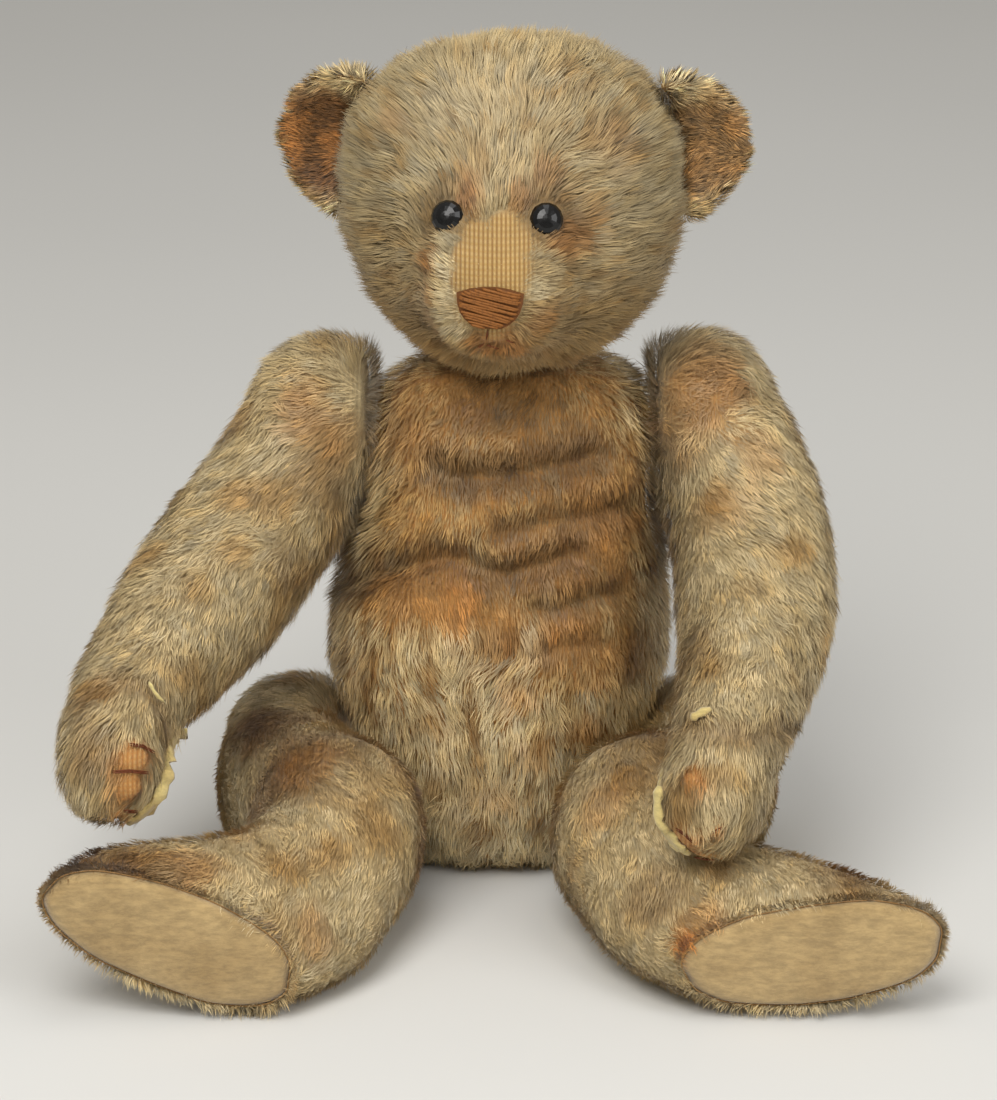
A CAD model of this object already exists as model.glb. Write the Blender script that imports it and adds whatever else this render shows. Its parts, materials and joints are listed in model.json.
"""Looks of a threadbare jointed teddy bear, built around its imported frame.

Every stuffed node gets a cloth skin, swelled by a cloth simulation and then
creased, and a pile of mesh strands that grows out of the skin. How long the
pile is, which way it lies and what colour it has follow the wear that the
photograph shows: marks are named in the photograph's pixels and laid on the
skin along the camera's sight lines. All sizes are in metres.
"""
import json
import math

import bpy
import numpy as np
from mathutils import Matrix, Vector
from mathutils.bvhtree import BVHTree
from mathutils.kdtree import KDTree


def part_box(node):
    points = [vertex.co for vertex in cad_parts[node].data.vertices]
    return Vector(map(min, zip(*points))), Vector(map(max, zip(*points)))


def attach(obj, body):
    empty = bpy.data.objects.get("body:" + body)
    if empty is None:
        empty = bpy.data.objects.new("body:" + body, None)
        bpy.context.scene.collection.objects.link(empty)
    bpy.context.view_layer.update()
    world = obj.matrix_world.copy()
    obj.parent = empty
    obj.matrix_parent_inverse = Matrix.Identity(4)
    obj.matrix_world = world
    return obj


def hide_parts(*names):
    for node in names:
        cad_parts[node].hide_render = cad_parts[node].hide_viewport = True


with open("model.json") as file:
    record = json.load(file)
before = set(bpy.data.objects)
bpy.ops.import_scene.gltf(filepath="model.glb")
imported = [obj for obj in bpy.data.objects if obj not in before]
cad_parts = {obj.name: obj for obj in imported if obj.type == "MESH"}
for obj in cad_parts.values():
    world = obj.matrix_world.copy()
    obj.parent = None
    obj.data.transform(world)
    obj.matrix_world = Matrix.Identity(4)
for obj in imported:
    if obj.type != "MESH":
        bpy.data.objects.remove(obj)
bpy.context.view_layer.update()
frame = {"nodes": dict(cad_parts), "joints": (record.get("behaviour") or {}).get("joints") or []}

MM = 0.001
SEED = 12

# ---- camera
PHOTO_WIDTH, PHOTO_HEIGHT = 997, 1100
FOCAL_PIXELS = 4062.5
CAMERA_DISTANCE = 1.3
CAMERA_ELEVATION = math.radians(19)
AIM = Vector((0.5 * MM, 0, 98 * MM))
SENSOR = 36

# ---- cloth skins
VOXEL = 4.5 * MM
SIM_FRAMES = 16
SIM_PRESSURE = 3.0
SIM_QUALITY = 4
SWELL_LIMIT = 4 * MM     # the farthest that the simulation moves a point
PILE_SINK = 0.3          # share of the pile's length by which the skin lies inside the solid
CREASE_DIP = 1.25        # a fold's floor and its raised sides, as shares of its depth
CREASE_SIDE = 0.35
CREASE_SIDE_WIDTH = 2.3  # against the width of its floor

# ---- pile
TORSO_STRANDS = HEAD_STRANDS = 84000
LIMB_STRANDS = 51000
EAR_STRANDS = 13000
FRINGE_STRANDS = 4200
STRAND_WIDTH = 0.27 * MM
OWN_NORMAL = 0.12        # a strand's own part in its shading, the rest comes from the skin
TUFT_STRANDS = 14        # strands that draw together into one tuft
TUFT_PULL = 0.14         # how far a strand's tip goes over to the tip of its tuft
TUFT_TONE = 0.085        # how much one tuft is lighter or darker than the next
TUFT_WARMTH = 0.03       # how much one tuft is warmer than the next
TUFT_SIZE = 6 * MM
SWIRL_SIZE = 24 * MM     # how far apart the pile turns its way
STRAND_SHADES = (0.84, 0.96, 0.96, 1.03)   # root, middle, middle, tip

# Colours, as the eye reads them (sRGB).
CREAM = (0.90, 0.83, 0.66)
SAND = (0.79, 0.68, 0.47)
TAWNY = (0.72, 0.55, 0.31)
RUST = (0.80, 0.52, 0.25)
UMBER = (0.44, 0.30, 0.15)
DEEP = (0.27, 0.17, 0.08)
EAR_BROWN = (0.44, 0.29, 0.15)
BACKING = (0.68, 0.54, 0.32)
BACKING_ORANGE = (0.80, 0.54, 0.28)
WEAVE_LIGHT = (0.86, 0.73, 0.49)
HOLE = (0.46, 0.32, 0.16)
FELT = (0.67, 0.57, 0.39)
FELT_WORN = (0.58, 0.48, 0.31)
PAD = (0.80, 0.73, 0.48)
PAD_WORN = (0.68, 0.58, 0.35)
FLOSS = (0.54, 0.34, 0.15)
FLOSS_SHADE = (0.40, 0.24, 0.10)
FLOSS_DARK = (0.31, 0.17, 0.07)
SEAM, SEAM_DARK = (0.56, 0.43, 0.26), (0.36, 0.26, 0.15)
CLAW, CLAW_DARK = (0.40, 0.20, 0.10), (0.20, 0.10, 0.05)
BUTTON_BLACK, BUTTON_WORN = (0.012, 0.012, 0.014), (0.03, 0.026, 0.024)
BOARD, BOARD_LIGHT = (0.40, 0.30, 0.20), (0.52, 0.41, 0.29)
STEEL, STEEL_RUST = (0.48, 0.47, 0.45), (0.33, 0.20, 0.12)
FLOOR, FLOOR_LIGHT = (0.80, 0.80, 0.79), (0.83, 0.83, 0.82)
ROOM = (0.88, 0.865, 0.84)

rng = np.random.default_rng(SEED)


def linear(colour):
    """An sRGB colour, or rows of them, as linear light."""
    c = np.asarray(colour, float)
    return np.where(c <= 0.04045, c / 12.92, ((c + 0.055) / 1.055) ** 2.4)


def rgba(colour):
    return (*linear(colour), 1.0)


def unit(rows):
    return rows / np.maximum(np.linalg.norm(rows, axis=-1, keepdims=True), 1e-9)


def fade(x, low, high):
    """0 below low, 1 above high, and smooth between."""
    t = np.clip((x - low) / (high - low), 0, 1)
    return t * t * (3 - 2 * t)


def blended(first, second, share, most=1):
    """The first colour with a share of the second, from none up to the most."""
    share = np.asarray(np.clip(share, 0, most))[..., None]
    return np.asarray(first) * (1 - share) + np.asarray(second) * share


class Cloud:
    """Smooth random values from -1 to 1 in space, one column for each channel."""

    CELLS = 32

    def __init__(self, seed, channels=1):
        table = np.random.default_rng(seed)
        self.table = table.uniform(-1, 1, (self.CELLS,) * 3 + (channels,))

    def __call__(self, points, size):
        p = np.asarray(points) / size + 100
        cell = np.floor(p).astype(int)
        t = p - cell
        t = t * t * (3 - 2 * t)
        total = 0
        for dx in (0, 1):
            for dy in (0, 1):
                for dz in (0, 1):
                    corner = (cell + (dx, dy, dz)) % self.CELLS
                    weight = np.prod(np.where((dx, dy, dz), t, 1 - t), axis=1)
                    value = self.table[corner[:, 0], corner[:, 1], corner[:, 2]]
                    total = total + value * weight[:, None]
        return total


patches = Cloud(1)
streaks = Cloud(2)
swirls = Cloud(3, 3)
tufts = Cloud(4, 3)


def cloudy(cloud, points, size):
    """A cloud's values from 0 to 1."""
    return 0.5 + 0.5 * cloud(points, size)[:, 0]


def varied(points, size, amount):
    """Factors round 1 that wander by an amount."""
    return 1 + amount * patches(points, size)[:, 0]


# ---- camera and stage
scene = bpy.context.scene
camera_data = bpy.data.cameras.new("camera")
camera_data.sensor_fit = "HORIZONTAL"
camera_data.sensor_width = SENSOR
camera_data.lens = FOCAL_PIXELS * SENSOR / PHOTO_WIDTH
camera_data.clip_end = 50
camera = bpy.data.objects.new("camera", camera_data)
toward_camera = Vector((0, -math.cos(CAMERA_ELEVATION), math.sin(CAMERA_ELEVATION)))
camera.location = AIM + toward_camera * CAMERA_DISTANCE
camera.rotation_euler = (math.pi / 2 - CAMERA_ELEVATION, 0, 0)
scene.collection.objects.link(camera)
scene.camera = camera
scene.view_settings.view_transform = "Standard"


def sight_line(x, y):
    """The camera's place and the direction of photograph pixel (x, y)."""
    across = Vector((1, 0, 0))
    up = across.cross(-toward_camera)
    aside = (x - PHOTO_WIDTH / 2) / FOCAL_PIXELS
    above = (PHOTO_HEIGHT / 2 - y) / FOCAL_PIXELS
    return camera.location, (-toward_camera + across * aside + up * above).normalized()


# ---- materials
class Shader:
    """A small helper around one node material."""

    def __init__(self, name, **sockets):
        self.material = bpy.data.materials.new(name)
        self.material.use_nodes = True
        self.tree = self.material.node_tree
        self.principled = self.tree.nodes["Principled BSDF"]
        for socket, value in sockets.items():
            self.principled.inputs[socket.replace("_", " ")].default_value = value

    def node(self, kind, inputs=None, **settings):
        """A node with its settings, and with its inputs as values or sockets."""
        made = self.tree.nodes.new("ShaderNode" + kind)
        for key, value in settings.items():
            setattr(made, key, value)
        for key, value in (inputs or {}).items():
            if isinstance(value, bpy.types.NodeSocket):
                self.link(value, made.inputs[key])
            else:
                made.inputs[key].default_value = value
        return made

    def link(self, source, target):
        self.tree.links.new(source, target)

    def position(self):
        return self.node("TexCoord").outputs["Object"]

    def noise(self, scale, detail=3.0, roughness=0.55, source=None):
        inputs = {"Scale": scale, "Detail": detail, "Roughness": roughness,
                  "Vector": source or self.position()}
        return self.node("TexNoise", inputs).outputs["Fac"]

    def ramp(self, value, stops):
        made = self.node("ValToRGB", {"Fac": value})
        elements = made.color_ramp.elements
        while len(elements) < len(stops):
            elements.new(0.5)
        for element, (place, colour) in zip(elements, stops):
            element.position = place
            element.color = rgba(colour)
        return made.outputs["Color"]

    def mix(self, amount, first, second, blend="MIX"):
        inputs = {0: amount, 6: first, 7: second}
        return self.node("Mix", inputs, data_type="RGBA", blend_type=blend).outputs[2]

    def spread(self, value, low, high, start=0.0, end=1.0):
        """A value from start to end, stretched to run from low to high."""
        inputs = {"Value": value, "From Min": start, "From Max": end, "To Min": low, "To Max": high}
        return self.node("MapRange", inputs).outputs["Result"]

    def attribute(self, name, output="Color"):
        return self.node("Attribute", attribute_name=name).outputs[output]

    def colour(self, socket):
        self.link(socket, self.principled.inputs["Base Color"])

    def rough(self, socket):
        self.link(socket, self.principled.inputs["Roughness"])

    def bump(self, height, distance, strength=1.0):
        made = self.node("Bump", {"Strength": strength, "Distance": distance, "Height": height})
        self.link(made.outputs["Normal"], self.principled.inputs["Normal"])

    def threads(self, pitch, axis):
        """Round threads that lie side by side along an axis of the object."""
        inputs = {"Scale": 2 * math.pi / (20 * pitch), "Distortion": 1.2, "Detail": 1.0,
                  "Detail Scale": 60, "Vector": self.position()}
        return self.node("TexWave", inputs, wave_type="BANDS", bands_direction=axis,
                         wave_profile="SIN").outputs["Fac"]


WEAVE_PITCH = 1.35 * MM
WEFT_PITCH = 1.15 * WEAVE_PITCH
FELT_DRAW = (0.35, 1, 1)  # felt fibres are drawn out along X


def pile_material(name):
    """Mohair strands: the colour is the strand's own, dulled here and there by dust."""
    shader = Shader(name, Roughness=0.5, Sheen_Weight=0.12, Sheen_Roughness=0.4, Specular_IOR_Level=0.35)
    dust = shader.spread(shader.noise(60), 0.86, 1.1)
    own = shader.attribute("pile")
    shader.colour(shader.mix(1.0, own, dust, "MULTIPLY"))
    shader.rough(shader.spread(shader.noise(900, 1), 0.42, 0.62))
    return shader.material


def backing_material(name):
    """The woven ground of the mohair cloth, bare where the pile has gone."""
    shader = Shader(name, Roughness=0.85, Sheen_Weight=0.15, Specular_IOR_Level=0.2)
    warp = shader.threads(WEAVE_PITCH, "X")
    weft = shader.spread(shader.threads(WEFT_PITCH, "Z"), 0.4, 1)
    weave = shader.node("Math", {0: warp, 1: weft}, operation="MULTIPLY").outputs[0]
    thread = shader.ramp(weave, ((0.0, HOLE), (0.22, BACKING), (1.0, WEAVE_LIGHT)))
    under = shader.attribute("ground")
    shade = shader.spread(shader.noise(140), 0.8, 1.12)
    toned = shader.mix(shader.attribute("ground", "Alpha"), thread, under)
    shader.colour(shader.mix(1.0, toned, shade, "MULTIPLY"))
    shader.bump(weave, 0.25 * MM)
    return shader.material


def felt_material(name, colour, worn):
    shader = Shader(name, Roughness=0.92, Sheen_Weight=0.35, Sheen_Roughness=0.6, Specular_IOR_Level=0.15)
    drawn = shader.node("Mapping", {"Scale": FELT_DRAW, "Vector": shader.position()})
    fine = shader.noise(620, 6, 0.72, drawn.outputs["Vector"])
    base = shader.ramp(shader.noise(45, 4), ((0.3, worn), (0.62, colour)))
    fibre = shader.spread(fine, 0.8, 1.14, 0.38, 0.62)
    shader.colour(shader.mix(1.0, base, fibre, "MULTIPLY"))
    shader.bump(fine, 0.3 * MM, 0.8)
    return shader.material


def floss_material(name, light, dark):
    shader = Shader(name, Roughness=0.6, Specular_IOR_Level=0.25)
    fibre = shader.noise(1400, 3, 0.6)
    shader.colour(shader.ramp(fibre, ((0.2, dark), (0.52, light))))
    shader.bump(fibre, 0.1 * MM)
    return shader.material


def button_material(name):
    shader = Shader(name, Roughness=0.3, Coat_Weight=0.25, Coat_Roughness=0.1, Specular_IOR_Level=0.3)
    wear = shader.noise(500, 4)
    shader.colour(shader.ramp(wear, ((0.4, BUTTON_BLACK), (0.75, BUTTON_WORN))))
    shader.rough(shader.spread(wear, 0.16, 0.34))
    return shader.material


def board_material(name):
    shader = Shader(name, Roughness=0.8)
    grain = shader.noise(700, 5, 0.7)
    shader.colour(shader.ramp(grain, ((0.3, BOARD), (0.7, BOARD_LIGHT))))
    shader.bump(grain, 0.2 * MM)
    return shader.material


def steel_material(name):
    shader = Shader(name, Metallic=1.0, Roughness=0.4)
    rust = shader.noise(260, 5, 0.7)
    shader.colour(shader.ramp(rust, ((0.45, STEEL), (0.7, STEEL_RUST))))
    shader.rough(shader.spread(rust, 0.3, 0.65))
    return shader.material


MOHAIR = pile_material("mohair_pile")
GROUND = backing_material("mohair_ground")
SOLE_FELT = felt_material("sole_felt", FELT, FELT_WORN)
PAD_FELT = felt_material("pad_felt", PAD, PAD_WORN)
NOSE_FLOSS = floss_material("nose_floss", FLOSS, FLOSS_DARK)
NOSE_PADDING = floss_material("nose_padding", FLOSS_SHADE, FLOSS_DARK)
SEAM_THREAD = floss_material("seam_thread", SEAM, SEAM_DARK)
CLAW_FLOSS = floss_material("claw_floss", CLAW, CLAW_DARK)
BUTTON = button_material("shoe_button")
BOARD_MATERIAL = board_material("fibreboard")
STEEL_MATERIAL = steel_material("steel")


# ---- meshes
def link_mesh(name, mesh, material, smooth=True):
    made = bpy.data.objects.new(name, mesh)
    scene.collection.objects.link(made)
    mesh.materials.clear()
    mesh.materials.append(material)
    if smooth:
        mesh.polygons.foreach_set("use_smooth", np.ones(len(mesh.polygons), bool))
    return made


def coordinates(mesh):
    flat = np.zeros(len(mesh.vertices) * 3)
    mesh.vertices.foreach_get("co", flat)
    return flat.reshape(-1, 3)


def set_coordinates(mesh, points):
    mesh.vertices.foreach_set("co", np.asarray(points, np.float32).ravel())
    mesh.update()


def normals(mesh):
    flat = np.zeros(len(mesh.vertices) * 3, np.float32)
    mesh.vertex_normals.foreach_get("vector", flat)
    return flat.reshape(-1, 3).astype(float)


def triangles(mesh):
    mesh.calc_loop_triangles()
    flat = np.zeros(len(mesh.loop_triangles) * 3, np.int32)
    mesh.loop_triangles.foreach_get("vertices", flat)
    return flat.reshape(-1, 3)


def tree_of(mesh):
    return BVHTree.FromPolygons(coordinates(mesh).tolist(), triangles(mesh).tolist())


def swept(line, side, other, swell, sides):
    """Points and faces of a closed oval that follows a line. side and other are its half axes."""
    angles = np.arange(sides) * 2 * math.pi / sides
    ring = np.cos(angles)[:, None] * side[:, None] + np.sin(angles)[:, None] * other[:, None]
    points = (line[:, None] + ring * swell[:, None, None]).reshape(-1, 3)
    faces = []
    for low in range(0, (len(line) - 1) * sides, sides):
        for k in range(sides):
            n = (k + 1) % sides
            faces.append((low + k, low + n, low + sides + n, low + sides + k))
    faces.append(tuple(reversed(range(sides))))
    faces.append(tuple(range(len(points) - sides, len(points))))
    return points, faces


def tube(line, radius):
    """A thread that follows a line of points."""
    line = np.asarray(line, float)
    along = unit(np.gradient(line, axis=0))
    seed = (0.3, 0.2, 0.93) if abs(along[0][2]) < 0.9 else (1, 0, 0)
    side = unit(np.cross(along, seed)) * radius
    swell = np.ones(len(line))
    swell[[0, -1]] = 0.45
    return swept(line, side, np.cross(along, side), swell, 6)


def ribbon(line, out, width, thick):
    """A strip of felt, cut unevenly, that follows a line and faces out."""
    along = unit(np.gradient(line, axis=0))
    side = unit(np.cross(along, out))
    swell = 1 + 0.22 * np.sin(np.arange(len(line)) * 2.1)
    swell[[0, -1]] = 0.5
    return swept(line, side * width / 2, np.cross(along, side) * thick / 2, swell, 8)


def bundle(name, body, material, tubes):
    """One piece made of several threads."""
    points, faces, start = [], [], 0
    for some, around in tubes:
        points.append(some)
        faces += [tuple(v + start for v in face) for face in around]
        start += len(some)
    mesh = bpy.data.meshes.new(name)
    mesh.from_pydata(np.concatenate(points).tolist(), [], faces)
    piece = link_mesh(name, mesh, material)
    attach(piece, body)
    return piece


def baked(piece):
    """The piece's mesh with its modifiers made real."""
    graph = bpy.context.evaluated_depsgraph_get()
    mesh = bpy.data.meshes.new_from_object(piece.evaluated_get(graph))
    piece.modifiers.clear()
    piece.data = mesh
    return mesh


def joined_nodes(name, nodes):
    """One mesh that holds copies of several frame nodes."""
    points, faces = [], []
    for node in nodes:
        mesh = frame["nodes"][node].data
        start = sum(len(p) for p in points)
        points.append(coordinates(mesh))
        faces.append(triangles(mesh) + start)
    mesh = bpy.data.meshes.new(name)
    mesh.from_pydata(np.concatenate(points).tolist(), [], np.concatenate(faces).tolist())
    return mesh


def keep_largest(mesh):
    """Drops the inner islands, such as the room round a joint disc."""
    label = np.arange(len(mesh.vertices))
    edges = np.zeros(len(mesh.edges) * 2, np.int32)
    mesh.edges.foreach_get("vertices", edges)
    edges = edges.reshape(-1, 2)
    while True:
        low = np.minimum(label[edges[:, 0]], label[edges[:, 1]])
        new = label.copy()
        np.minimum.at(new, edges[:, 0], low)
        np.minimum.at(new, edges[:, 1], low)
        new = new[new]
        if (new == label).all():
            break
        label = new
    values, sizes = np.unique(label, return_counts=True)
    keep = label == values[sizes.argmax()]
    index = np.cumsum(keep) - 1
    faces = [[int(index[v]) for v in p.vertices] for p in mesh.polygons if keep[p.vertices[0]]]
    fresh = bpy.data.meshes.new(mesh.name)
    fresh.from_pydata(coordinates(mesh)[keep].tolist(), [], faces)
    fresh.materials.append(GROUND)
    fresh.polygons.foreach_set("use_smooth", np.ones(len(faces), bool))
    return fresh


def remeshed(name, nodes, voxel):
    piece = link_mesh(name, joined_nodes(name, nodes), GROUND)
    remesh = piece.modifiers.new("remesh", "REMESH")
    remesh.mode = "VOXEL"
    remesh.voxel_size = voxel
    mesh = baked(piece)
    piece.data = keep_largest(mesh)
    return piece


def swelled(piece, limit):
    """A cloth simulation with air pressure inside, which rounds the stuffed piece."""
    before = coordinates(piece.data)
    cloth = piece.modifiers.new("cloth", "CLOTH")
    settings = cloth.settings
    settings.use_pressure = True
    settings.uniform_pressure_force = SIM_PRESSURE
    settings.effector_weights.gravity = 0
    settings.quality = SIM_QUALITY
    cloth.point_cache.frame_start = 1
    cloth.point_cache.frame_end = SIM_FRAMES
    for step in range(1, SIM_FRAMES + 1):
        scene.frame_set(step)
    after = coordinates(baked(piece))
    scene.frame_set(1)
    moved = after - before
    far = np.linalg.norm(moved, axis=1, keepdims=True)
    moved *= np.minimum(1, limit / np.maximum(far, 1e-9))
    set_coordinates(piece.data, before + moved)


def finer(piece):
    piece.modifiers.new("subdivision", "SUBSURF").levels = 1
    return baked(piece)


# ---- marks from the photograph
MISS_DEPTH = 160 * MM    # how far a sight line that passes by is followed, each way from the aim
MISS_STEPS = 81


class Marks:
    """Places on one piece that the photograph shows, found along the camera's sight lines.

    A sight line that passes the piece by gives the place where it comes closest.
    """

    def __init__(self, tree):
        self.tree = tree

    def place(self, x, y):
        origin, direction = sight_line(x, y)
        hit = self.tree.ray_cast(origin, direction)[0]
        if hit is None:
            depths = np.linspace(-MISS_DEPTH, MISS_DEPTH, MISS_STEPS) + CAMERA_DISTANCE
            near = [self.tree.find_nearest(origin + direction * depth) for depth in depths]
            hit = min(near, key=lambda found: found[3])[0]
        return np.array(hit)

    def line(self, pixels, step=1.5):
        """Points along a drawn line, every few pixels."""
        pixels = np.asarray(pixels, float)
        found = []
        for (x0, y0), (x1, y1) in zip(pixels[:-1], pixels[1:]):
            parts = max(2, int(math.hypot(x1 - x0, y1 - y0) / step))
            for k in range(parts):
                t = k / parts
                found.append(self.place(x0 + (x1 - x0) * t, y0 + (y1 - y0) * t))
        found.append(self.place(*pixels[-1]))
        return np.array(found)

    def facing(self, points):
        """The surface's outward direction at points on it."""
        return np.array([self.tree.find_nearest(Vector(p))[1] for p in points])

    def spots(self, points, marks):
        """How strongly each point lies in the marked spots (x, y, radius, strength), in pixels."""
        total = np.zeros(len(points))
        for x, y, radius, strength in marks:
            centre = self.place(x, y)
            reach = radius * CAMERA_DISTANCE / FOCAL_PIXELS
            away = np.linalg.norm(points - centre, axis=1) * varied(points, 6 * MM, 0.35)
            total = np.maximum(total, strength * (1 - fade(away, 0.45 * reach, 1.15 * reach)))
        return total


def nearness(points, line, width):
    """1 on a line of points, falling off smoothly over its width."""
    best = np.full(len(points), 1e9)
    for start in range(0, len(line), 16):
        gap = np.linalg.norm(points[:, None] - line[None, start : start + 16], axis=2)
        best = np.minimum(best, gap.min(axis=1))
    return np.exp(-((best / width) ** 2))


# ---- pile
def scatter(mesh, weight, count):
    """Seeded points on a mesh, more where the weight is more: their places and normals."""
    points, around, tris = coordinates(mesh), normals(mesh), triangles(mesh)
    a, b, c = (points[tris[:, k]] for k in range(3))
    area = np.linalg.norm(np.cross(b - a, c - a), axis=1) / 2
    chance = area * weight[tris].mean(axis=1)
    picked = rng.choice(len(tris), count, p=chance / chance.sum())
    u, v = rng.random((2, count))
    over = u + v > 1
    u[over], v[over] = 1 - u[over], 1 - v[over]
    shares = np.stack([1 - u - v, u, v], axis=1)[:, :, None]
    corners = tris[picked]
    return (points[corners] * shares).sum(1), unit((around[corners] * shares).sum(1))


def strand_cells(count):
    """UV corners that give each strand a cell of its own, for its two triangles."""
    across = math.ceil(math.sqrt(count))
    cell = np.arange(count)
    low = np.stack([cell % across, cell // across], axis=1) / across
    size = 1 / across
    margin = 0.12 * size
    left, right = low[:, 0] + margin, low[:, 0] + size - margin
    bottom, top = low[:, 1] + margin, low[:, 1] + size - margin
    centre, half = low[:, 0] + size / 2, low[:, 1] + size / 2
    root, east, west, tip = (centre, bottom), (right, half), (left, half), (centre, top)
    corners = [value for corner in (root, east, west, west, east, tip) for value in corner]
    return np.stack(corners, axis=1)


def tuft_leaders(roots):
    """For each root, the number of the near root whose tuft it joins."""
    leaders = rng.choice(len(roots), len(roots) // TUFT_STRANDS, replace=False)
    tree = KDTree(len(leaders))
    for leader in leaders:
        tree.insert(roots[leader], leader)
    tree.balance()
    return np.array([tree.find(root)[1] for root in roots])


def grow(name, body, skin, weight, count, style):
    """Pile all over a skin, where weight lets it grow."""
    roots, out = scatter(skin.data, weight, count)
    strands(name, body, roots, out, style(roots, out))


def strands(name, body, roots, out, look):
    """Bent, tapered strands. look gives each root its length, lean, comb and colour."""
    count = len(roots)
    leader = tuft_leaders(roots)
    wild = look.get("wild", 1.0)
    comb = look["comb"] + wild * (0.5 * swirls(roots, SWIRL_SIZE) + 0.45 * tufts(roots, TUFT_SIZE))
    comb += rng.normal(0, 0.2, (count, 3))
    comb = 0.35 * comb[leader] + 0.65 * comb
    comb = unit(comb - out * (comb * out).sum(1, keepdims=True))
    lean = look["lean"] + rng.normal(0, 0.12, count) + 0.2 * tufts(roots, 7 * MM)[:, 0]
    lean = np.clip(lean, 0.05, 1.45)[:, None]
    length = (look["length"] * rng.uniform(0.75, 1.15, count))[:, None]
    first = out * np.cos(lean) + comb * np.sin(lean)
    bend = np.clip(lean + rng.uniform(0.1, 0.45, (count, 1)), 0, 1.6)
    second = out * np.cos(bend) + comb * np.sin(bend)
    roll = rng.uniform(-0.6, 0.6, (count, 1))
    across = unit(np.cross(first, out))
    side = across * np.cos(roll) + np.cross(first, across) * np.sin(roll)
    faces_out = (np.cross(side, first) * out).sum(1, keepdims=True)
    width = look.get("width", STRAND_WIDTH) * rng.uniform(0.7, 1.3, (count, 1))
    side = side * np.where(faces_out < 0, -1, 1) * width / 2
    middle = roots + first * length * 0.5
    tip = middle + second * length * 0.5
    pull = TUFT_PULL * fade(length, 3 * MM, 6 * MM)
    tip = tip * (1 - pull) + tip[leader] * pull
    points = np.stack([roots, middle + side, middle - side, tip], axis=1)
    corners = np.arange(count)[:, None] * 4 + (0, 1, 2, 2, 1, 3)
    mesh = bpy.data.meshes.new(name)
    mesh.vertices.add(count * 4)
    mesh.vertices.foreach_set("co", points.astype(np.float32).ravel())
    mesh.loops.add(count * 6)
    mesh.loops.foreach_set("vertex_index", corners.astype(np.int32).ravel())
    mesh.polygons.add(count * 2)
    mesh.polygons.foreach_set("loop_start", np.arange(0, count * 6, 3, dtype=np.int32))
    mesh.update(calc_edges=True)
    bake_map = mesh.uv_layers.new(name="OFBake")
    bake_map.data.foreach_set("uv", strand_cells(count).astype(np.float32).ravel())
    tone = 0.6 * look["colour"][leader] + 0.4 * look["colour"]
    lighter, warmer = np.clip(rng.normal(0, 1, (2, count)), -1.7, 1.5)[:, leader]
    tone = tone * (1 + TUFT_TONE * lighter)[:, None] * (1 + TUFT_WARMTH * np.outer(warmer, (0.4, 0, -1)))
    uneven = look.get("uneven", 0.05)
    tone = tone * rng.uniform(1 - uneven, 1 + uneven, (count, 1))
    along = np.array(STRAND_SHADES)[None, :, None]
    shades = np.clip(linear(np.clip(tone[:, None] * along, 0, 1)), 0, 1)
    colour = mesh.color_attributes.new("pile", "FLOAT_COLOR", "POINT")
    full = np.concatenate([shades, np.ones((count, 4, 1))], axis=2)
    colour.data.foreach_set("color", full.astype(np.float32).ravel())
    own = unit(np.cross(side, first + second))
    facing = unit(own * OWN_NORMAL + out * (1 - OWN_NORMAL))
    mesh.polygons.foreach_set("use_smooth", np.ones(count * 2, bool))
    mesh.normals_split_custom_set_from_vertices(np.repeat(facing, 4, axis=0).tolist())
    piece = link_mesh(name, mesh, MOHAIR)
    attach(piece, body)


# ---- joints
anchors = {joint["child"]: np.array(joint["pos_m"], float) for joint in frame["joints"]}
joint_axes = {joint["child"]: np.array(joint["axis"], float) for joint in frame["joints"]}
JOINT_FACE = {"head": 15 * MM, "left_arm": 14 * MM, "right_arm": 14 * MM,
              "left_leg": 16 * MM, "right_leg": 16 * MM}  # radius of the flat face
FACE_EDGE = 3 * MM
FACE_NEAR, FACE_FAR = 6 * MM, 9 * MM  # along the pin, where the face's effect ends
SEWN_REACH = 1.0 * MM
SOLE_SEWN_REACH = 2.2 * MM
ROOM_DEPTH = 9 * MM      # a wall this close in front of the cloth is a joint's room


def clear_of_joints(points, children):
    """0 on the flat faces where a limb or the head turns on the body, else 1."""
    keep = np.ones(len(points))
    for child in children:
        away = points - anchors[child]
        along = np.abs(away @ joint_axes[child])
        off = np.linalg.norm(away - np.outer(away @ joint_axes[child], joint_axes[child]), axis=1)
        inside = 1 - fade(off, JOINT_FACE[child] - FACE_EDGE, JOINT_FACE[child])
        keep = np.minimum(keep, 1 - inside * (1 - fade(along, FACE_NEAR, FACE_FAR)))
    return keep


def beside_joints(points, children, reach):
    """1 close to where a limb turns on the body, fading to 0 at a reach."""
    close = np.zeros(len(points))
    for child in children:
        away = np.linalg.norm(points - anchors[child], axis=1)
        close = np.maximum(close, 1 - fade(away, 0.35 * reach, reach))
    return close


def bare_near(points, nodes):
    """0 close to the nodes that are sewn on, else 1."""
    keep = np.ones(len(points))
    for node in nodes:
        reach = SOLE_SEWN_REACH if node.endswith("_sole") else SEWN_REACH
        tree = tree_of(frame["nodes"][node].data)
        gaps = [tree.find_nearest(Vector(p), reach * 3)[3] for p in points]
        away = np.array([reach * 3 if gap is None else gap for gap in gaps])
        keep = np.minimum(keep, fade(away, reach * 0.8, reach * 1.2))
    return keep


def outside(mesh, points, around):
    """0 for points inside the piece, such as the wall of a joint's room, else 1."""
    tree = tree_of(mesh)
    seen = np.ones(len(points))
    for k, (point, normal) in enumerate(zip(points, around)):
        place, wall, *_ = tree.ray_cast(Vector(point + normal * MM), Vector(normal), ROOM_DEPTH)
        if place is not None and wall.dot(Vector(normal)) < -0.3:
            seen[k] = 0
    return seen


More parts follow.
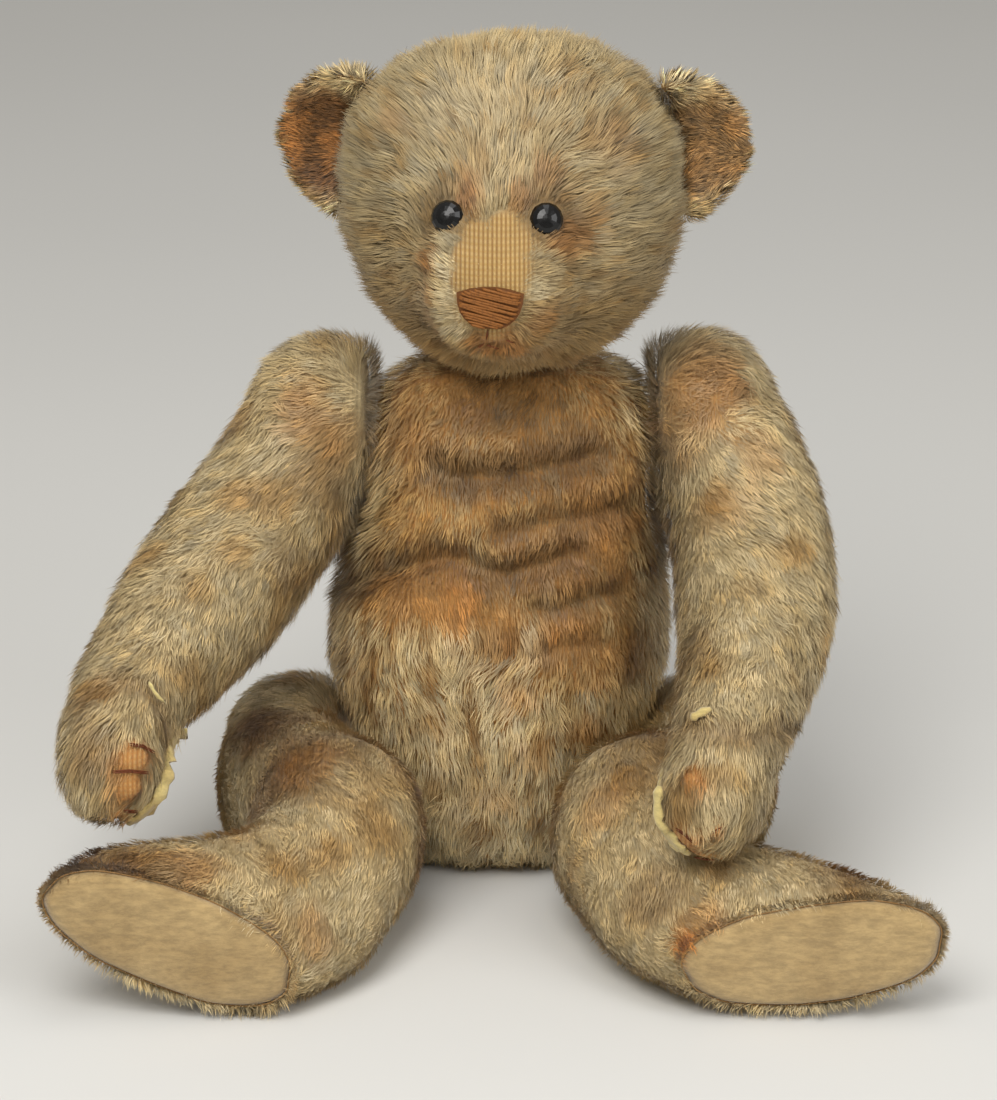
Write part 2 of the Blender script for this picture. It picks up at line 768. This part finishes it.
# ---- stuffed pieces
def stuffed(name, nodes, body, nap, creases=(), joints=(), sewn=(),
            voxel=VOXEL, limit=SWELL_LIMIT):
    """A skin over one or more nodes. nap gives the pile's length at each point."""
    marks = Marks(tree_of(joined_nodes(name + "_solid", nodes)))
    skin = remeshed(name, nodes, voxel)
    swelled(skin, limit)
    mesh = finer(skin)
    points = coordinates(mesh)
    sink = nap(points, marks) * PILE_SINK * clear_of_joints(points, joints) * bare_near(points, sewn)
    points = points - normals(mesh) * sink[:, None]
    set_coordinates(mesh, points)
    around = normals(mesh)
    for pixels, depth, width in creases:
        line = marks.line(pixels)
        floor_share = nearness(points, line, width) * CREASE_DIP
        side_share = nearness(points, line, width * CREASE_SIDE_WIDTH) * CREASE_SIDE
        points = points + around * ((side_share - floor_share) * depth)[:, None]
    set_coordinates(mesh, points)
    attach(skin, body)
    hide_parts(*nodes)
    return skin, marks


UNDER_PILE = 0.93        # how dark the ground is under the pile, against the pile


def ground_colour(skin, colours, plain):
    """A skin's colour under its pile, for each point, and how little of the weave shows there."""
    count = len(skin.data.vertices)
    shades = np.broadcast_to(linear(colours), (count, 3))
    full = np.concatenate([shades, np.broadcast_to(plain, count)[:, None]], axis=1)
    layer = skin.data.color_attributes.new("ground", "FLOAT_COLOR", "POINT")
    layer.data.foreach_set("color", full.astype(np.float32).ravel())


CREASE_SHADOW = 1.6      # the dark lies wider than the fold itself
DARK_CREASE = 3.6 * MM   # folds this deep and over are fully dark


def crease_shade(points, marks, creases):
    """How deep each point lies in the creases, from 0 to 1."""
    shade = np.zeros(len(points))
    for pixels, depth, width in creases:
        close = nearness(points, marks.line(pixels), width * CREASE_SHADOW)
        shade = np.maximum(shade, close * min(1, depth / DARK_CREASE))
    return np.clip(shade * varied(points, 5 * MM, 0.5), 0, 1)


# ---- torso
ALL_JOINTS = tuple(anchors)
TORSO_NAP, TORSO_STUBBLE = 7.6 * MM, 2.8 * MM
# Folds: a line in the photograph's pixels, its depth and its width
TORSO_CREASES = (
    (((436, 464), (470, 474), (520, 471), (560, 463), (600, 452)), 3.8 * MM, 4.2 * MM),
    (((345, 574), (385, 566), (440, 555), (470, 560), (505, 573), (545, 562), (572, 552)),
     4.2 * MM, 4.2 * MM),
    (((505, 531), (550, 522), (600, 511), (640, 500)), 2.6 * MM, 4 * MM),
    (((540, 607), (575, 600), (622, 590)), 3.0 * MM, 3.5 * MM),
    (((480, 656), (530, 648), (607, 640)), 1.8 * MM, 3.5 * MM),
    (((400, 420), (450, 425), (500, 415)), 1.0 * MM, 5 * MM),
    (((350, 480), (352, 520), (346, 560)), 1.6 * MM, 4 * MM),
    (((500, 574), (520, 600), (560, 612)), 1.6 * MM, 3.5 * MM),
)
# Spots: x, y and radius in the photograph's pixels, and how strong
BARE_CHEST = (
    (440, 400, 70, 0.75), (560, 400, 80, 0.7), (600, 480, 70, 0.8), (430, 520, 70, 0.8),
    (500, 455, 60, 0.8), (520, 520, 70, 0.8), (600, 560, 60, 0.8), (430, 575, 50, 0.9), (500, 590, 46, 0.8),
    (580, 625, 46, 0.8), (620, 640, 40, 0.6), (560, 665, 30, 0.5), (390, 600, 36, 0.6),
)
ORANGE_CHEST = (
    (395, 592, 42, 0.9), (445, 590, 44, 1.0), (500, 625, 34, 0.6), (560, 635, 40, 0.7),
    (600, 655, 30, 0.6), (470, 385, 40, 0.5), (400, 440, 50, 0.5), (600, 520, 50, 0.6),
    (560, 560, 40, 0.5), (520, 690, 24, 0.5), (530, 745, 26, 0.4), (360, 500, 30, 0.6),
    (500, 790, 26, 0.4), (430, 720, 20, 0.4), (590, 720, 24, 0.5),
)
DUSKY_CHEST = ((520, 385, 60, 0.75), (560, 440, 50, 0.55), (610, 560, 35, 0.5), (640, 640, 40, 0.6),
               (350, 660, 40, 0.35), (500, 350, 60, 0.8))


def torso_nap(points, marks):
    worn = marks.spots(points, BARE_CHEST)
    length = TORSO_NAP * (1 - worn) + TORSO_STUBBLE * worn
    return length * varied(points, 14 * MM, 0.12)


torso_skin, torso_marks = stuffed("torso_skin", ["torso"], "torso", torso_nap, TORSO_CREASES,
                                  ALL_JOINTS)


def torso_style(points, out):
    worn = torso_marks.spots(points, BARE_CHEST)
    orange = torso_marks.spots(points, ORANGE_CHEST)
    dusky = torso_marks.spots(points, DUSKY_CHEST)
    deep = crease_shade(points, torso_marks, TORSO_CREASES)
    mottle = cloudy(patches, points, 11 * MM)
    streak = cloudy(streaks, points * (1, 1, 0.28), 3.6 * MM)
    front = fade(-out[:, 1], 0, 0.6)
    low = 1 - fade(points[:, 2], 25 * MM, 75 * MM)
    colour = blended(CREAM, SAND, 0.1 + 0.9 * streak)
    brown = (0.25 + 0.5 * front) * fade(streak, 0.52, 0.85) * (0.4 + 0.6 * mottle)
    colour = blended(colour, UMBER, brown)
    colour = blended(colour, CREAM, 0.45 * low)
    colour = blended(colour, TAWNY, 0.85 * worn + 0.2 * (streak > 0.75))
    colour = blended(colour, RUST, orange * (0.2 + 0.6 * mottle), 0.75)
    colour = blended(colour, UMBER, 0.7 * dusky)
    colour = blended(colour, DEEP, 0.7 * deep)
    comb = np.array((0, 0, -1)) + 0.4 * out * (1, 1, 0)
    beside = beside_joints(points, ("left_arm", "right_arm"), 60 * MM) * np.abs(out[:, 0]) ** 2
    length = torso_nap(points, torso_marks) * (1 + 0.35 * beside)
    return {"length": length, "lean": 1.08 + 0.1 * worn - 0.5 * beside, "comb": comb,
            "colour": colour, "slot": "worn_mohair", "width": 0.3 * MM}


# ---- head
def node_centre(name):
    low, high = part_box(name)
    return (np.array(low) + np.array(high)) / 2


nose_centre = node_centre("nose_stitching")
eye_centres = {side: node_centre(side + "_eye") for side in ("left", "right")}
head_across = unit(eye_centres["left"] - eye_centres["right"])
head_back = unit(np.cross((0, 0, 1), head_across))
head_centre = node_centre("head")
HEAD_HALF_WIDTH = 50 * MM
HEAD_NAP = 8.6 * MM
CROWN_DEPTH = 27 * MM
CROWN_ROUND = 0.15       # how much narrower the very top is than the solid
HEAD_SEWN = ("left_eye", "right_eye", "nose_stitching", "mouth_stitching")
MUZZLE_PATCH = ((464, 252, 22, 1.0), (476, 232, 20, 1.0), (505, 226, 22, 1.0), (517, 240, 24, 1.0),
                (500, 262, 34, 1.0), (468, 275, 22, 1.0), (514, 265, 24, 1.0), (487, 308, 36, 1.0),
                (487, 244, 28, 1.0), (508, 285, 24, 1.0))
MUZZLE_FRINGE = ((445, 262, 20, 1.0), (445, 290, 20, 1.0), (452, 325, 24, 0.9),
                 (447, 240, 14, 0.9), (535, 290, 16, 0.6))
FACE_STAINS = ((432, 262, 20, 0.9), (428, 300, 16, 0.5), (570, 232, 22, 0.75), (590, 222, 18, 0.5),
               (560, 245, 18, 0.8), (495, 345, 34, 0.9), (540, 325, 24, 0.55), (470, 205, 18, 0.7),
               (520, 203, 16, 0.6), (400, 130, 22, 0.35), (606, 150, 26, 0.3), (630, 110, 16, 0.5),
               (545, 180, 16, 0.6), (370, 90, 20, 0.5))


def rounded_crown(skin):
    """Draws the head's top in at the sides, as its stuffing does under the seams."""
    points = coordinates(skin.data)
    high = fade(points[:, 2], points[:, 2].max() - CROWN_DEPTH, points[:, 2].max())
    aside = (points - head_centre) @ head_across
    set_coordinates(skin.data, points - (aside * high * CROWN_ROUND)[:, None] * head_across)


def face_bare(points, marks):
    return marks.spots(points, MUZZLE_PATCH)


def around_eyes(points):
    close = np.zeros(len(points))
    for centre in eye_centres.values():
        away = np.linalg.norm(points - centre, axis=1)
        close = np.maximum(close, 1 - fade(away, 6.5 * MM, 13 * MM))
    return close


def head_nap(points, marks):
    bare = face_bare(points, marks)
    near_face = 1 - fade(np.linalg.norm(points - nose_centre, axis=1), 14 * MM, 46 * MM)
    length = HEAD_NAP * (1 - 0.5 * near_face) * (1 - 0.42 * around_eyes(points))
    return length * (1 - bare) * varied(points, 14 * MM, 0.1) + 0.2 * MM


head_skin, head_marks = stuffed("head_skin", ["head"], "head", head_nap, (), ("head",), HEAD_SEWN,
                                voxel=4 * MM, limit=2 * MM)
rounded_crown(head_skin)


def head_style(points, out):
    stained = head_marks.spots(points, FACE_STAINS)
    fringe = head_marks.spots(points, MUZZLE_FRINGE)
    mottle = cloudy(patches, points, 16 * MM)
    streak = cloudy(streaks, points, 3.6 * MM)
    low = fade(head_centre[2] - points[:, 2], -10 * MM, 40 * MM)
    aside = ((points - head_centre) @ head_across / HEAD_HALF_WIDTH)[:, None]
    behind = fade((points - head_centre) @ head_back, -5 * MM, 30 * MM)[:, None]
    colour = blended(CREAM, SAND, 0.35 + 0.8 * streak * mottle)
    colour = blended(colour, TAWNY, 0.5 * low + 0.45 * fade(streak, 0.55, 0.8))
    colour = blended(colour, RUST, 0.8 * stained)
    colour = blended(colour, UMBER, 0.4 * around_eyes(points))
    colour = colour * (0.88 - 0.15 * np.abs(aside))
    colour = blended(colour, CREAM, 0.9 * fringe)
    comb = 1.3 * aside * head_across * (1 - 0.6 * behind) + unit(points - nose_centre)
    comb = comb + 0.3 * head_back - behind * (0, 0, 1.2)
    return {"length": head_nap(points, head_marks), "lean": 0.88 + 0.3 * patches(points, 9 * MM)[:, 0],
            "comb": comb, "colour": colour, "wild": 1.7}


# ---- limbs
ARM_NAP, LEG_NAP = 6.6 * MM, 5.4 * MM
ARM_WORN = {
    "right_arm": ((139, 757, 20, 1.0), (134, 789, 17, 1.0), (126, 816, 13, 0.9), (300, 400, 30, 0.25)),
    "left_arm": ((682, 840, 24, 1.0), (714, 833, 13, 0.9), (700, 866, 18, 1.0), (690, 772, 15, 0.8),
                 (700, 400, 40, 0.35), (740, 420, 30, 0.3)),
}
ARM_STAINS = {
    "right_arm": ((139, 757, 24, 0.9), (134, 789, 20, 0.9), (126, 816, 17, 0.9),
                  (310, 410, 40, 0.4), (350, 440, 30, 0.4)),
    "left_arm": ((682, 840, 28, 1.0), (714, 833, 16, 0.9), (700, 866, 22, 1.0), (690, 772, 18, 0.8),
                 (700, 380, 50, 0.4), (670, 430, 40, 0.4), (760, 450, 30, 0.3), (720, 500, 40, 0.2)),
}
WRIST_SEAMS = {
    "right_arm": (((79, 700), (100, 683), (121, 672), (156, 686), (172, 716)), 3.2 * MM, 2.6 * MM),
    "left_arm": (((680, 716), (700, 722), (750, 728), (798, 722)), 3.2 * MM, 2.6 * MM),
}
LEG_STAINS = {
    "right_leg": ((300, 760, 40, 0.3), (200, 860, 30, 0.3), (320, 930, 30, 0.35)),
    "left_leg": ((678, 944, 20, 1.0), (600, 800, 30, 0.3), (700, 920, 30, 0.4)),
}
LIMB_DUSKY = {
    "right_arm": ((100, 740, 36, 0.35), (330, 470, 40, 0.35), (300, 560, 36, 0.3), (120, 825, 26, 0.35)),
    "left_arm": ((690, 370, 60, 0.7), (660, 450, 40, 0.6), (670, 560, 34, 0.4), (690, 640, 34, 0.3)),
    "right_leg": ((290, 760, 70, 0.8), (262, 720, 50, 0.8), (250, 800, 40, 0.6), (80, 852, 40, 1.0),
                  (125, 864, 34, 1.0), (180, 868, 40, 0.6), (340, 750, 40, 0.5)),
    "left_leg": ((650, 890, 40, 0.5), (640, 750, 60, 0.4), (850, 880, 50, 0.35)),
}


def limb_nap(worn_marks, nap_length):
    def nap(points, marks):
        worn = marks.spots(points, worn_marks)
        return nap_length * (1 - 0.93 * worn) * varied(points, 15 * MM, 0.12)
    return nap


def limb_style(marks, nap, anchor, stains, dusky, creases, sag, tone):
    """How a limb's pile looks. sag is how far it hangs, and tone darkens it all over."""
    def style(points, out):
        stained = marks.spots(points, stains)
        mottle = cloudy(patches, points, 13 * MM)
        streak = cloudy(streaks, points, 3.4 * MM)
        colour = blended(CREAM, SAND, 0.3 + 0.9 * streak * mottle)
        colour = blended(colour, TAWNY, 0.6 * fade(mottle, 0.55, 0.9))
        colour = blended(colour, UMBER, marks.spots(points, dusky) * (0.5 + 0.5 * mottle), 0.8)
        colour = blended(colour, RUST, 0.85 * stained)
        colour = blended(colour, UMBER, 0.6 * crease_shade(points, marks, creases))
        beside = 1 - fade(np.linalg.norm(points - anchor, axis=1), 20 * MM, 50 * MM)
        beside = beside * np.clip(-out[:, 0] * np.sign(anchor[0]), 0, 1)
        return {"length": nap(points, marks) * (1 + 0.2 * beside), "lean": 1.15 - 0.35 * beside,
                "comb": unit(points - anchor) + (0, 0, -sag), "width": 0.25 * MM,
                "colour": blended(colour, CREAM, 0.5 * beside) * tone}
    return style


plans = [
    ("torso_pile", "torso", torso_skin, torso_style, ALL_JOINTS, (), TORSO_STRANDS, None),
    ("head_pile", "head", head_skin, head_style, ("head",), HEAD_SEWN, HEAD_STRANDS,
     lambda p: 1 - 0.985 * face_bare(p, head_marks)),
]
deep_creases = crease_shade(coordinates(torso_skin.data), torso_marks, TORSO_CREASES)
chest_ground = blended(BACKING_ORANGE, TAWNY, 0.5)
ground_colour(torso_skin, blended(chest_ground, DEEP, 0.9 * deep_creases), 0.8)
face_points = coordinates(head_skin.data)
bare_face = face_bare(face_points, head_marks)
below = head_style(face_points, normals(head_skin.data))["colour"] * UNDER_PILE
ground_colour(head_skin, blended(below, BACKING, bare_face), 0.9 - 0.6 * bare_face)

limb_marks, limb_styles = {}, {}
for limb in ("right_arm", "left_arm", "right_leg", "left_leg"):
    side, kind = limb.split("_")
    if kind == "arm":
        covered, sewn = [limb, side + "_paw_cover"], (side + "_paw_pad",)
        worn, stains, creases = ARM_WORN[limb], ARM_STAINS[limb], (WRIST_SEAMS[limb],)
        nap_length, sag, tone = ARM_NAP, 0.25, 0.925
    else:
        covered, sewn = [limb], (side + "_sole",)
        worn, stains, creases = (), LEG_STAINS[limb], ()
        nap_length, sag, tone = LEG_NAP, 0.1, 0.96
    nap = limb_nap(worn, nap_length)
    skin, marks = stuffed(limb + "_skin", covered, limb, nap, creases, (limb,), sewn)
    style = limb_style(marks, nap, anchors[limb], stains, LIMB_DUSKY[limb], creases, sag, tone)
    limb_marks[limb], limb_styles[limb] = marks, style
    plans.append((limb + "_pile", limb, skin, style, (limb,), sewn, LIMB_STRANDS, None))
    spots = coordinates(skin.data)
    bare = marks.spots(spots, worn)
    below = style(spots, normals(skin.data))["colour"] * UNDER_PILE
    ground_colour(skin, blended(below, BACKING_ORANGE, bare), 0.9 - 0.4 * bare)

for name, body, skin, style, joints, sewn, count, keep in plans:
    points = coordinates(skin.data)
    weight = clear_of_joints(points, joints) * outside(skin.data, points, normals(skin.data))
    weight = weight * bare_near(points, sewn)
    if keep is not None:
        weight = weight * keep(points)
    grow(name, body, skin, weight, count, style)


# ---- ears
EAR_NAP = 6 * MM
EAR_DARK = {"left": 0.6, "right": 0.9}  # how much of the brown covers the inside


def ear_nap(points, marks):
    return np.full(len(points), 0.4 * EAR_NAP)


def ear_pile(side):
    node = side + "_ear"
    skin = stuffed(node + "_skin", [node], "head", ear_nap, voxel=2.5 * MM, limit=1 * MM)[0]
    centre = node_centre(node)

    def style(points, out):
        near = 1 - fade(np.linalg.norm(points - centre, axis=1), 13 * MM, 21 * MM)
        inner = fade(-out[:, 1], 0.1, 0.6) * near
        streak = cloudy(streaks, points, 2.2 * MM)
        colour = blended(CREAM, SAND, 0.3 + 0.8 * streak) * 0.95
        inside = blended(EAR_BROWN, RUST, 0.5 * fade(patches(points, 7 * MM)[:, 0], 0, 0.6))
        colour = blended(colour, inside, inner * EAR_DARK[side])
        comb = unit(points - head_centre) * (1, 0.3, 1)
        return {"length": EAR_NAP * (1 - 0.2 * inner), "lean": 0.45 + 0.5 * streak, "comb": comb,
                "colour": colour, "slot": "ear_mohair", "wild": 2.2, "uneven": 0.34, "width": 0.34 * MM}

    grow(node + "_pile", "head", skin, np.ones(len(skin.data.vertices)), EAR_STRANDS, style)
    ground_colour(skin, blended(BACKING, UMBER, 0.5), 0.8)


for side in ("left", "right"):
    ear_pile(side)

# ---- stitching
NOSE_ROWS = 18
NOSE_SLANT = 0.24
NOSE_THREAD = 0.46 * MM
NOSE_HALF_WIDTH, NOSE_HALF_HEIGHT = 11 * MM, 7.5 * MM
NOSE_STEPS = 45
NOSE_END = 1.3 * MM      # how far a stitch's ends go in under the edge
MOUTH_THREAD, CLAW_THREAD = 0.3 * MM, 0.26 * MM
CLAW_SPACING = 0.9       # pixels from a claw's line to each of its two threads
nose_tree = tree_of(frame["nodes"]["nose_stitching"].data)
head_up = np.cross(head_across, -head_back)


def on_front(tree, centre, aside, above):
    """Where a line from in front of the face, that far aside and above, meets a tree."""
    start = centre + head_across * aside + head_up * above - head_back * 40 * MM
    return tree.ray_cast(Vector(start), Vector(head_back), 60 * MM)[0]


nose_tubes = []
for row in range(NOSE_ROWS):
    height = NOSE_HALF_HEIGHT * (1 - 2 * (row + 0.5) / NOSE_ROWS) + rng.normal(0, 0.12 * MM)
    slant = NOSE_SLANT + rng.normal(0, 0.03)
    path = []
    for aside in np.linspace(-NOSE_HALF_WIDTH, NOSE_HALF_WIDTH, NOSE_STEPS):
        hit = on_front(nose_tree, nose_centre, aside, height + slant * aside)
        if hit is not None:
            path.append(np.array(hit))
    if len(path) < 6:
        continue
    path = np.array(path)[::2]
    path[[0, -1]] += head_back * NOSE_END
    nose_tubes.append(tube(path, NOSE_THREAD * rng.uniform(0.9, 1.12)))
base = frame["nodes"]["nose_stitching"].data
nose = bundle("nose_threads", "head", NOSE_FLOSS, nose_tubes)
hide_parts("nose_stitching")
padding = (coordinates(base) + head_back * 0.35 * MM, triangles(base).tolist())
bundle("nose_padding", "head", NOSE_PADDING, [padding])

MOUTH_STITCHES = (
    ((488, 330), (486, 340)), ((484, 344), (474, 350)), ((487, 345), (499, 349)), ((506, 340), (514, 343)),
)
mouth_tubes = [tube(head_marks.line(stitch, 4), MOUTH_THREAD) for stitch in MOUTH_STITCHES]
mouth = bundle("mouth_threads", "head", CLAW_FLOSS, mouth_tubes)
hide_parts("mouth_stitching")

CLAWS = {
    "right_arm": (((112, 772), (130, 771), (149, 773)), ((129, 744), (143, 746), (155, 753)),
                  ((124, 811), (138, 812))),
    "left_arm": (((676, 829), (684, 834), (692, 842)), ((712, 833), (722, 828)),
                 ((690, 871), (703, 866), (714, 862))),
}
for limb, claws in CLAWS.items():
    tubes = []
    for claw in claws:
        for shift in (-CLAW_SPACING, CLAW_SPACING):
            line = limb_marks[limb].line([(x, y + shift) for x, y in claw], 4)
            tubes.append(tube(line, CLAW_THREAD))
    bundle(limb + "_claws", limb, CLAW_FLOSS, tubes)


# ---- felt
PAD_EDGES = {
    "right_arm": (((183, 728), (181, 745), (178, 772), (166, 797), (148, 820)), 4.2 * MM),
    "left_arm": (((661, 786), (659, 802), (661, 822), (663, 845), (669, 868)), 3.2 * MM),
}
FELT_SCRAPS = {
    "right_arm": (((149, 682), (153, 690), (158, 697), (165, 703)), 1.1 * MM),
    "left_arm": (((691, 719), (697, 715), (703, 712), (711, 709)), 2.6 * MM),
}
FELT_THICK = 1.4 * MM
EDGE_LIFT, SCRAP_LIFT = 1.1 * MM, 0.2 * MM


def felt_strip(limb, kind, pixels, width, lift):
    """A strip of felt along a line of the photograph, turned some way to the camera."""
    marks = limb_marks[limb]
    line = marks.line(pixels, 6)
    out = unit(marks.facing(line) + 1.5 * np.array(toward_camera))
    strip = ribbon(line + out * lift, out, width, FELT_THICK)
    bundle(limb + kind, limb, PAD_FELT, [strip])


for limb in PAD_EDGES:
    felt_strip(limb, "_pad_edge", *PAD_EDGES[limb], EDGE_LIFT)
    felt_strip(limb, "_felt_scrap", *FELT_SCRAPS[limb], SCRAP_LIFT)

SOLE_RINGS, SOLE_AROUND = 14, 72
SOLE_PUFF = 1.3 * MM     # how far the felt domes
SOLE_THICK = 1.2 * MM
SOLE_TURN = 1.9 * MM     # how far its rim turns back
SOLE_TURN_START = 0.86   # the share of the way out where that starts
SOLE_SPREAD = (0.99, 1.09)  # the felt's size against the node's, along and across
SOLE_POWER = 2.3         # 2 is an oval, more is squarer
THREAD = 0.22 * MM
FRINGE_LENGTH = 4.2 * MM


def sole_piece(side):
    """The felt sole: an oval cut a little unevenly, drawn over the stuffing."""
    node, body = side + "_sole", side + "_leg"
    points = coordinates(frame["nodes"][node].data)
    centre = (points.max(0) + points.min(0)) / 2
    spread = points - centre
    out, short, long = np.linalg.eigh(spread.T @ spread)[1].T
    out = out * (1 if out[1] < 0 else -1)
    half_long = np.abs(spread @ long).max() * SOLE_SPREAD[0]
    half_short = np.abs(spread @ short).max() * SOLE_SPREAD[1]
    half_thick = np.abs(spread @ out).max()
    rows = []
    angles = np.arange(SOLE_AROUND) * 2 * math.pi / SOLE_AROUND
    across, up = np.abs(np.cos(angles)) ** SOLE_POWER, np.abs(np.sin(angles)) ** SOLE_POWER
    wobble = (across + up) ** (-1 / SOLE_POWER) + 0.015 * np.sin(3 * angles + 1)
    wobble = wobble + 0.008 * np.sin(7 * angles) + 0.004 * np.sin(13 * angles)
    wide, high = np.cos(angles) * wobble, np.sin(angles) * wobble
    for ring in range(SOLE_RINGS + 1):
        share = ring / SOLE_RINGS
        edge = max(0.0, (share - SOLE_TURN_START) / (1 - SOLE_TURN_START))
        rise = half_thick + SOLE_PUFF * (1 - share ** 3) - SOLE_TURN * edge ** 2.5
        rows.append(centre + long * (wide * half_long * share)[:, None]
                    + short * (high * half_short * share)[:, None] + out * rise)
    rows[0] = rows[0][:1]
    points = np.concatenate(rows)
    points += out * (0.35 * MM * patches(points, 17 * MM))
    faces = [(0, 1 + k, 1 + (k + 1) % SOLE_AROUND) for k in range(SOLE_AROUND)]
    for ring in range(SOLE_RINGS - 1):
        low = 1 + ring * SOLE_AROUND
        for k in range(SOLE_AROUND):
            n = (k + 1) % SOLE_AROUND
            faces.append((low + k, low + SOLE_AROUND + k, low + SOLE_AROUND + n, low + n))
    mesh = bpy.data.meshes.new(side + "_felt_sole")
    mesh.from_pydata(points.tolist(), [], faces)
    mesh.update()
    if normals(mesh)[0] @ out < 0:
        mesh.flip_normals()
    piece = link_mesh(side + "_felt_sole", mesh, SOLE_FELT)
    thick = piece.modifiers.new("thickness", "SOLIDIFY")
    thick.thickness = SOLE_THICK
    thick.offset = -1
    baked(piece)
    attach(piece, body)
    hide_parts(node)
    edge = rows[-1] + out * 0.5 * MM
    edge = np.concatenate([edge, edge[:2]])
    bundle(side + "_sole_seam", body, SEAM_THREAD, [tube(edge, THREAD)])
    turn = rng.random(FRINGE_STRANDS) * SOLE_AROUND
    before = turn.astype(int)
    share = (turn - before)[:, None]
    ring = rows[-1]
    roots = ring[before] * (1 - share) + ring[(before + 1) % SOLE_AROUND] * share
    away = unit(roots - centre)
    roots = roots - away * rng.uniform(0, 1.2, (FRINGE_STRANDS, 1)) * MM
    roots = roots - out * rng.uniform(0.6, 4.5, (FRINGE_STRANDS, 1)) * MM
    colour = limb_styles[body](roots, away)["colour"]
    under = fade(-away[:, 2], 0.1, 0.6)
    look = {"length": FRINGE_LENGTH * (1 + 0.5 * under), "lean": np.full(FRINGE_STRANDS, 0.85),
            "comb": 0.6 * out + rng.normal(0, 0.4, (FRINGE_STRANDS, 3)),
            "colour": blended(colour, CREAM, 0.12 + 0.58 * under)}
    strands(side + "_sole_fringe", body, roots, away, look)


def pad_piece(side):
    """The felt of the palm, from its node, with the cut edges softened."""
    node, body = side + "_paw_pad", side + "_arm"
    piece = remeshed(side + "_felt_pad", [node], 0.8 * MM)
    smooth = piece.modifiers.new("smooth", "SMOOTH")
    smooth.iterations = 4
    baked(piece)
    mesh = piece.data
    mesh.materials.clear()
    mesh.materials.append(PAD_FELT)
    points = coordinates(mesh)
    set_coordinates(mesh, points + normals(mesh) * (0.35 + 0.2 * patches(points, 5 * MM)) * MM)
    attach(piece, body)
    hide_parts(node)


for side in ("left", "right"):
    sole_piece(side)
    pad_piece(side)

# ---- carried-over nodes
ENDINGS = {"_eye": BUTTON, "_disc": BOARD_MATERIAL, "_washer": STEEL_MATERIAL, "_pin": STEEL_MATERIAL}
for name, node in frame["nodes"].items():
    for ending, material in ENDINGS.items():
        if name.endswith(ending):
            node.data.materials.clear()
            node.data.materials.append(material)

# ---- stage and light
FLOOR_REACH = 40.0
ROOM_STRENGTH = 0.55
floor_mesh = bpy.data.meshes.new("floor")
corners = [(x * FLOOR_REACH, y * FLOOR_REACH, 0) for x, y in ((-1, -1), (1, -1), (1, 1), (-1, 1))]
floor_mesh.from_pydata(corners, [], [(0, 1, 2, 3)])
floor_shader = Shader("floor", Roughness=0.9)
floor_shader.colour(floor_shader.ramp(floor_shader.noise(0.7), ((0.3, FLOOR), (0.7, FLOOR_LIGHT))))
floor = link_mesh("floor", floor_mesh, floor_shader.material, False)

world = bpy.data.worlds.new("world")
world.use_nodes = True
background = world.node_tree.nodes["Background"]
background.inputs["Color"].default_value = rgba(ROOM)
background.inputs["Strength"].default_value = ROOM_STRENGTH
scene.world = world


def area_light(name, place, size, watts, colour=(1, 1, 1)):
    data = bpy.data.lights.new(name, "AREA")
    data.shape = "DISK"
    data.size = size
    data.energy = watts
    data.color = colour
    lamp = bpy.data.objects.new(name, data)
    lamp.location = place
    lamp.rotation_euler = (AIM - Vector(place)).to_track_quat("-Z", "Y").to_euler()
    scene.collection.objects.link(lamp)


area_light("key", (-0.4, -1.1, 1.4), 1.1, 22, (1, 0.98, 0.95))
area_light("fill", (1.1, -1.0, 0.9), 1.0, 8)
area_light("top", (0.1, -0.2, 1.7), 1.0, 5)
